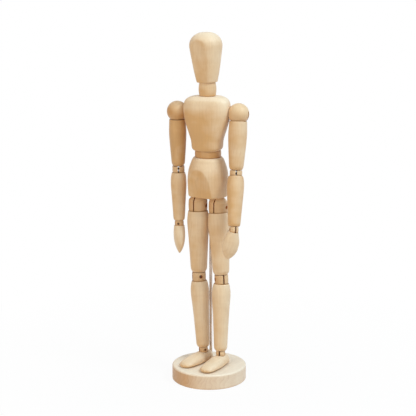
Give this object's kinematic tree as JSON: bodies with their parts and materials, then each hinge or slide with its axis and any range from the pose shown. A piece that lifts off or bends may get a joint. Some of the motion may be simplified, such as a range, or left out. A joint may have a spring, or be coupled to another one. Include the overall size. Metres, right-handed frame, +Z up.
{
  "type": "mannequin",
  "caption": "Artist's jointed wooden mannequin standing on a round wooden base with a steel support rod; its head, neck, chest, waist, arms and legs can be posed.",
  "frame": {"origin": "centre of the base's flat underside, on the surface that it stands on", "axes": "+Z up along the figure; the figure faces -Y when its hips are square; +X is the figure's own left"},
  "size_m": [0.0755, 0.0644, 0.3001],
  "materials": {
    "limb_wood": "pale smooth hardwood with a thin satin varnish",
    "joint_wood": "pale turned hardwood joint balls, satin",
    "base_wood": "pale turned hardwood disc, satin, with open grain on its side",
    "rod_steel": "plain steel rod",
    "pin_steel": "dull steel cross pins, deep in their holes",
    "spring_steel": "bright steel tension springs and hooks, hidden in their bores"
  },
  "bodies": {
    "base": {"base": "base_wood"},
    "rod": {"rod": "rod_steel"},
    "pelvis": {"pelvis": "limb_wood", "left_hip_hook": "spring_steel", "right_hip_hook": "spring_steel"},
    "waist": {"waist": "limb_wood"},
    "waist_spring": {"waist_spring": "spring_steel"},
    "chest": {"chest": "limb_wood", "chest_cross_spring": "spring_steel"},
    "neck": {"neck": "limb_wood"},
    "neck_spring": {"neck_spring": "spring_steel"},
    "head": {"head": "limb_wood"},
    "left_shoulder": {"left_shoulder": "joint_wood", "left_shoulder_pin": "pin_steel"},
    "left_upper_arm": {"left_upper_arm": "limb_wood", "left_upper_arm_spring": "spring_steel"},
    "left_elbow": {"left_elbow": "joint_wood", "left_elbow_pin": "pin_steel"},
    "left_forearm": {"left_forearm": "limb_wood", "left_forearm_spring": "spring_steel"},
    "left_wrist": {"left_wrist": "joint_wood", "left_wrist_pin": "pin_steel"},
    "left_hand": {"left_hand": "limb_wood", "left_hand_hook": "spring_steel"},
    "left_hip": {"left_hip": "joint_wood", "left_hip_pin": "pin_steel"},
    "left_thigh": {"left_thigh": "limb_wood", "left_thigh_spring": "spring_steel"},
    "left_knee": {"left_knee": "joint_wood", "left_knee_pin": "pin_steel"},
    "left_shin": {"left_shin": "limb_wood", "left_shin_spring": "spring_steel"},
    "left_ankle": {"left_ankle": "joint_wood", "left_ankle_pin": "pin_steel"},
    "left_foot": {"left_foot": "limb_wood", "left_foot_hook": "spring_steel"},
    "right_shoulder": {"right_shoulder": "joint_wood", "right_shoulder_pin": "pin_steel"},
    "right_upper_arm": {"right_upper_arm": "limb_wood", "right_upper_arm_spring": "spring_steel"},
    "right_elbow": {"right_elbow": "joint_wood", "right_elbow_pin": "pin_steel"},
    "right_forearm": {"right_forearm": "limb_wood", "right_forearm_spring": "spring_steel"},
    "right_wrist": {"right_wrist": "joint_wood", "right_wrist_pin": "pin_steel"},
    "right_hand": {"right_hand": "limb_wood", "right_hand_hook": "spring_steel"},
    "right_hip": {"right_hip": "joint_wood", "right_hip_pin": "pin_steel"},
    "right_thigh": {"right_thigh": "limb_wood", "right_thigh_spring": "spring_steel"},
    "right_knee": {"right_knee": "joint_wood", "right_knee_pin": "pin_steel"},
    "right_shin": {"right_shin": "limb_wood", "right_shin_spring": "spring_steel"},
    "right_ankle": {"right_ankle": "joint_wood", "right_ankle_pin": "pin_steel"},
    "right_foot": {"right_foot": "limb_wood", "right_foot_hook": "spring_steel"}
  },
  "joints": [
    {"name": "rod_turn", "type": "hinge", "parent": "base", "child": "rod", "pos_m": [-0.00652, 0.01753, 0], "axis": [0, 0, 1], "continuous": true},
    {"name": "figure_lift", "type": "slide", "parent": "rod", "child": "pelvis", "axis": [0, 0, 1], "range_m": [0, 0.012]},
    {"name": "waist_bend", "type": "hinge", "parent": "pelvis", "child": "waist", "pos_m": [-0.00652, 0.01173, 0.21103], "axis": [1, 0, 0], "range_deg": [-12, 15], "deforming": ["waist_spring"]},
    {"name": "chest_turn", "type": "hinge", "parent": "waist", "child": "waist_spring", "pos_m": [-0.00652, 0.01173, 0.21103], "axis": [0, 0, 1], "range_deg": [-75, 75]},
    {"name": "chest_side_bend", "type": "hinge", "parent": "waist_spring", "child": "chest", "pos_m": [-0.00652, 0.01173, 0.18305], "axis": [-0.0872, 0.9962, 0], "range_deg": [-2, 12], "deforming": ["waist_spring"]},
    {"name": "neck_nod", "type": "hinge", "parent": "chest", "child": "neck", "pos_m": [-0.00703, 0.01168, 0.25647], "axis": [0.9962, 0.0872, 0.007], "range_deg": [-20, 25], "deforming": ["neck_spring"]},
    {"name": "head_turn", "type": "hinge", "parent": "neck", "child": "neck_spring", "pos_m": [-0.00703, 0.01168, 0.25647], "axis": [-0.007, -0.0006, 1], "range_deg": [-90, 90]},
    {"name": "head_tilt", "type": "hinge", "parent": "neck_spring", "child": "head", "pos_m": [-0.00697, 0.01169, 0.2479], "axis": [0.1564, 0.9877, 0.0017], "range_deg": [-20, 20], "deforming": ["neck_spring"]},
    {"name": "left_shoulder_spin", "type": "hinge", "parent": "chest", "child": "left_shoulder", "pos_m": [0.02073, 0.01411, 0.23238], "axis": [0.9962, 0.0872, 0.007], "range_deg": [-170, 60]},
    {"name": "left_upper_arm_swing", "type": "hinge", "parent": "left_shoulder", "child": "left_upper_arm", "pos_m": [0.02073, 0.01411, 0.23238], "axis": [-0.0872, 0.9962, 0], "range_deg": [-90, 0]},
    {"name": "left_elbow_turn", "type": "hinge", "parent": "left_upper_arm", "child": "left_elbow", "pos_m": [0.02169, 0.00712, 0.18268], "axis": [-0.019, 0.1392, 0.9901], "range_deg": [-90, 90]},
    {"name": "left_forearm_swing", "type": "hinge", "parent": "left_elbow", "child": "left_forearm", "pos_m": [0.02169, 0.00712, 0.18268], "axis": [0.8998, 0.4341, -0.0437], "range_deg": [-40, 0]},
    {"name": "left_wrist_turn", "type": "hinge", "parent": "left_forearm", "child": "left_wrist", "pos_m": [0.02585, -0.00605, 0.13692], "axis": [-0.0871, 0.2756, 0.9573], "range_deg": [-90, 90]},
    {"name": "left_hand_swing", "type": "hinge", "parent": "left_wrist", "child": "left_hand", "pos_m": [0.02585, -0.00605, 0.13692], "axis": [0.6849, 0.7144, -0.1434], "range_deg": [-72, 30]},
    {"name": "right_shoulder_spin", "type": "hinge", "parent": "chest", "child": "right_shoulder", "pos_m": [-0.03445, 0.00928, 0.23199], "axis": [0.9962, 0.0872, 0.007], "range_deg": [-170, 60]},
    {"name": "right_upper_arm_swing", "type": "hinge", "parent": "right_shoulder", "child": "right_upper_arm", "pos_m": [-0.03445, 0.00928, 0.23199], "axis": [-0.0872, 0.9962, 0], "range_deg": [0, 90]},
    {"name": "right_elbow_turn", "type": "hinge", "parent": "right_upper_arm", "child": "right_elbow", "pos_m": [-0.0341, 0.01016, 0.1818], "axis": [-0.007, -0.0175, 0.9998], "range_deg": [-90, 22]},
    {"name": "right_forearm_swing", "type": "hinge", "parent": "right_elbow", "child": "right_forearm", "pos_m": [-0.0341, 0.01016, 0.1818], "axis": [0.8909, 0.4539, 0.0141], "range_deg": [-50, 0]},
    {"name": "right_wrist_turn", "type": "hinge", "parent": "right_forearm", "child": "right_wrist", "pos_m": [-0.03235, 0.00766, 0.1341], "axis": [-0.0366, 0.0523, 0.998], "range_deg": [-90, 90]},
    {"name": "right_hand_swing", "type": "hinge", "parent": "right_wrist", "child": "right_hand", "pos_m": [-0.03235, 0.00766, 0.1341], "axis": [0.2568, -0.9646, 0.06], "range_deg": [-52, 12]},
    {"name": "left_hip_turn", "type": "hinge", "parent": "pelvis", "child": "left_hip", "pos_m": [0.00308, 0.01173, 0.15129], "axis": [0, 0, 1], "range_deg": [-10, 60]},
    {"name": "left_thigh_swing", "type": "hinge", "parent": "left_hip", "child": "left_thigh", "pos_m": [0.00308, 0.01173, 0.15129], "axis": [0.9986, -0.0523, 0], "range_deg": [-80, 0]},
    {"name": "left_knee_turn", "type": "hinge", "parent": "left_thigh", "child": "left_knee", "pos_m": [0.00833, 0.00723, 0.08877], "axis": [-0.0835, 0.0715, 0.9939], "range_deg": [-12, 60]},
    {"name": "left_shin_swing", "type": "hinge", "parent": "left_knee", "child": "left_shin", "pos_m": [0.00833, 0.00723, 0.08877], "axis": [0.6965, 0.7175, 0.0069], "range_deg": [-65, 0]},
    {"name": "left_ankle_turn", "type": "hinge", "parent": "left_shin", "child": "left_ankle", "pos_m": [0.01005, 0.00194, 0.0231], "axis": [-0.0261, 0.0802, 0.9964], "range_deg": [-18, 55]},
    {"name": "left_foot_swing", "type": "hinge", "parent": "left_ankle", "child": "left_foot", "pos_m": [0.01005, 0.00194, 0.0231], "axis": [0.9877, 0.1559, 0.0133], "range_deg": [-6, 0]},
    {"name": "right_hip_turn", "type": "hinge", "parent": "pelvis", "child": "right_hip", "pos_m": [-0.01612, 0.01173, 0.15129], "axis": [0, 0, 1], "range_deg": [-60, 5]},
    {"name": "right_thigh_swing", "type": "hinge", "parent": "right_hip", "child": "right_thigh", "pos_m": [-0.01612, 0.01173, 0.15129], "axis": [0.9986, -0.0523, 0], "range_deg": [-80, 0]},
    {"name": "right_knee_turn", "type": "hinge", "parent": "right_thigh", "child": "right_knee", "pos_m": [-0.01393, 0.00887, 0.08849], "axis": [-0.0349, 0.0454, 0.9984], "range_deg": [-28, 16]},
    {"name": "right_shin_swing", "type": "hinge", "parent": "right_knee", "child": "right_shin", "pos_m": [-0.01393, 0.00887, 0.08849], "axis": [0.6804, -0.7306, 0.057], "range_deg": [-65, 0]},
    {"name": "right_ankle_turn", "type": "hinge", "parent": "right_shin", "child": "right_ankle", "pos_m": [-0.0083, 0.00588, 0.0229], "axis": [-0.0853, 0.0454, 0.9953], "range_deg": [-12, 16]},
    {"name": "right_foot_swing", "type": "hinge", "parent": "right_ankle", "child": "right_foot", "pos_m": [-0.0083, 0.00588, 0.0229], "axis": [0.7827, -0.615, 0.0951], "range_deg": [-4, 0]}
  ]
}
